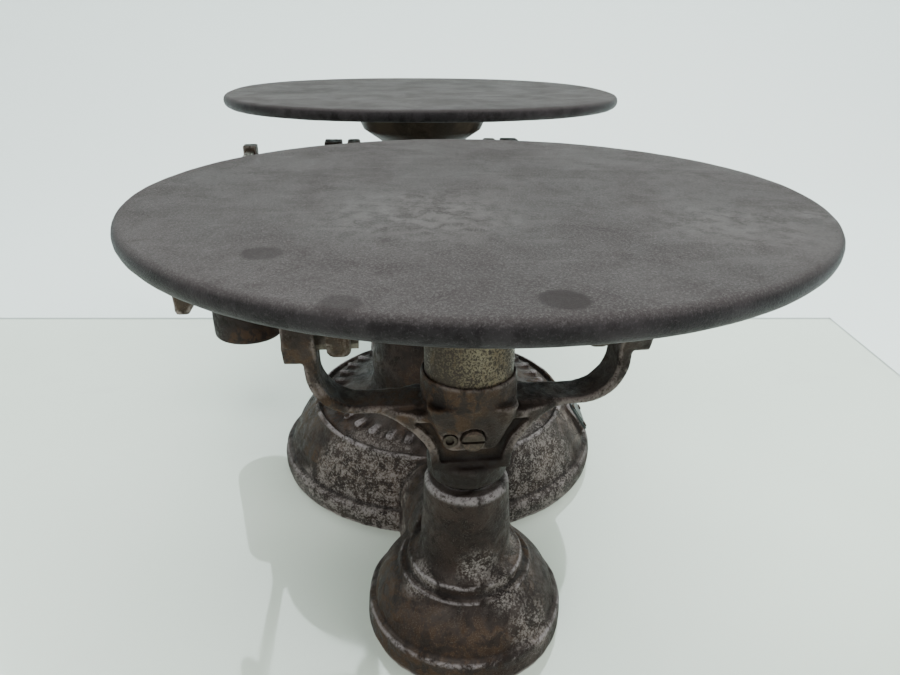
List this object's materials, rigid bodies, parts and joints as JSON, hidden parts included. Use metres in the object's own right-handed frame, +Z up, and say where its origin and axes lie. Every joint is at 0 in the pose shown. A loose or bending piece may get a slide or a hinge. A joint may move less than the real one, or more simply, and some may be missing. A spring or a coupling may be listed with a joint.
{
  "type": "equal arm balance scale",
  "caption": "Cast-iron counter balance with a round and an oblong plate on a level-keeping beam linkage, a side tare bar with hanging poise, and a three-footed base.",
  "frame": {"origin": "on the floor under the middle of the central foot", "axes": "+X along the beam towards the round plate, -Y towards the tare bar, +Z up"},
  "size_m": [0.5842, 0.3235, 0.2403],
  "materials": {
    "base_iron": "weathered brown paint over cast iron, worn grey on high spots",
    "beam_iron": "aged cast iron, brown",
    "carrier_iron": "aged cast iron, rubbed grey on edges",
    "plate_iron": "seasoned cast iron, grey with a faint purple cast",
    "poise_iron": "dark brown iron",
    "rod_iron": "plain dark iron",
    "bearing_steel": "hardened steel, dull",
    "screw_steel": "browned steel",
    "bar_steel": "dull steel",
    "stem_steel": "dark steel",
    "plated_post": "yellowed plating with rust speckle",
    "blank_plate": "dark grey metal, plain"
  },
  "bodies": {
    "base": {"base_casting": "base_iron", "left_fulcrum_steel": "bearing_steel", "right_fulcrum_steel": "bearing_steel", "rod_stud": "bearing_steel", "blank_plate": "blank_plate", "blank_plate_rivets": "screw_steel"},
    "beam": {"beam_casting": "beam_iron", "left_fulcrum_knife": "bearing_steel", "right_fulcrum_knife": "bearing_steel", "round_end_knives": "bearing_steel", "oblong_end_knives": "bearing_steel", "balance_screw": "screw_steel", "tare_bar": "bar_steel", "near_bar_bracket": "beam_iron", "far_bar_bracket": "beam_iron", "bar_end_stop": "beam_iron", "bracket_screws": "screw_steel"},
    "balance_nut": {"balance_nut": "screw_steel"},
    "poise": {"poise_stirrup": "poise_iron", "poise_thumb_screw": "screw_steel", "poise_pin": "bearing_steel"},
    "poise_weight": {"poise_weight": "poise_iron"},
    "round_carrier": {"round_carrier": "carrier_iron", "round_carrier_steels": "bearing_steel", "round_stem": "stem_steel", "round_stem_pin": "bearing_steel", "round_set_screw": "screw_steel", "round_dowel": "screw_steel"},
    "oblong_carrier": {"oblong_carrier": "carrier_iron", "oblong_carrier_steels": "bearing_steel", "oblong_stem": "stem_steel", "oblong_stem_pin": "bearing_steel", "oblong_set_screw": "screw_steel", "oblong_dowel": "screw_steel"},
    "round_plate": {"round_plate": "plate_iron", "round_plate_post": "plated_post"},
    "oblong_plate": {"oblong_plate": "plate_iron", "oblong_plate_post": "plated_post"},
    "check_rod": {"check_rod": "rod_iron"}
  },
  "joints": [
    {"name": "beam_tilt", "type": "hinge", "parent": "base", "child": "beam", "pos_m": [0, 0, 0.176], "axis": [0, 1, 0], "range_deg": [-4.4, 0]},
    {"name": "round_carrier_level", "type": "hinge", "parent": "beam", "child": "round_carrier", "pos_m": [0.15489, 0, 0.17005], "axis": [0, 1, 0], "range_deg": [0, 4.4]},
    {"name": "oblong_carrier_level", "type": "hinge", "parent": "beam", "child": "oblong_carrier", "pos_m": [-0.15489, 0, 0.18195], "axis": [0, 1, 0], "range_deg": [0, 4.4]},
    {"name": "check_rod_tilt", "type": "hinge", "parent": "base", "child": "check_rod", "pos_m": [0, 0, 0.026], "axis": [0, 1, 0], "range_deg": [-4.4, 0]},
    {"name": "round_plate_lift", "type": "slide", "parent": "round_carrier", "child": "round_plate", "axis": [0, 0, 1], "range_m": [0, 0.08]},
    {"name": "oblong_plate_lift", "type": "slide", "parent": "oblong_carrier", "child": "oblong_plate", "axis": [0, 0, 1], "range_m": [0, 0.08]},
    {"name": "poise_slide", "type": "slide", "parent": "beam", "child": "poise", "axis": [0.9993, 0, -0.0384], "range_m": [-0.018, 0.098]},
    {"name": "poise_swing", "type": "hinge", "parent": "poise", "child": "poise_weight", "pos_m": [-0.07077, -0.1445, 0.1572], "axis": [0, 1, 0], "range_deg": [-12, 12]},
    {"name": "balance_nut_slide", "type": "slide", "parent": "beam", "child": "balance_nut", "axis": [0.9993, 0, -0.0384], "range_m": [-0.015, 0.03]}
  ],
  "couplings": [
    {"joint": "round_carrier_level", "follows": "beam_tilt", "ratio": -1},
    {"joint": "oblong_carrier_level", "follows": "beam_tilt", "ratio": -1},
    {"joint": "check_rod_tilt", "follows": "beam_tilt", "ratio": 1}
  ]
}
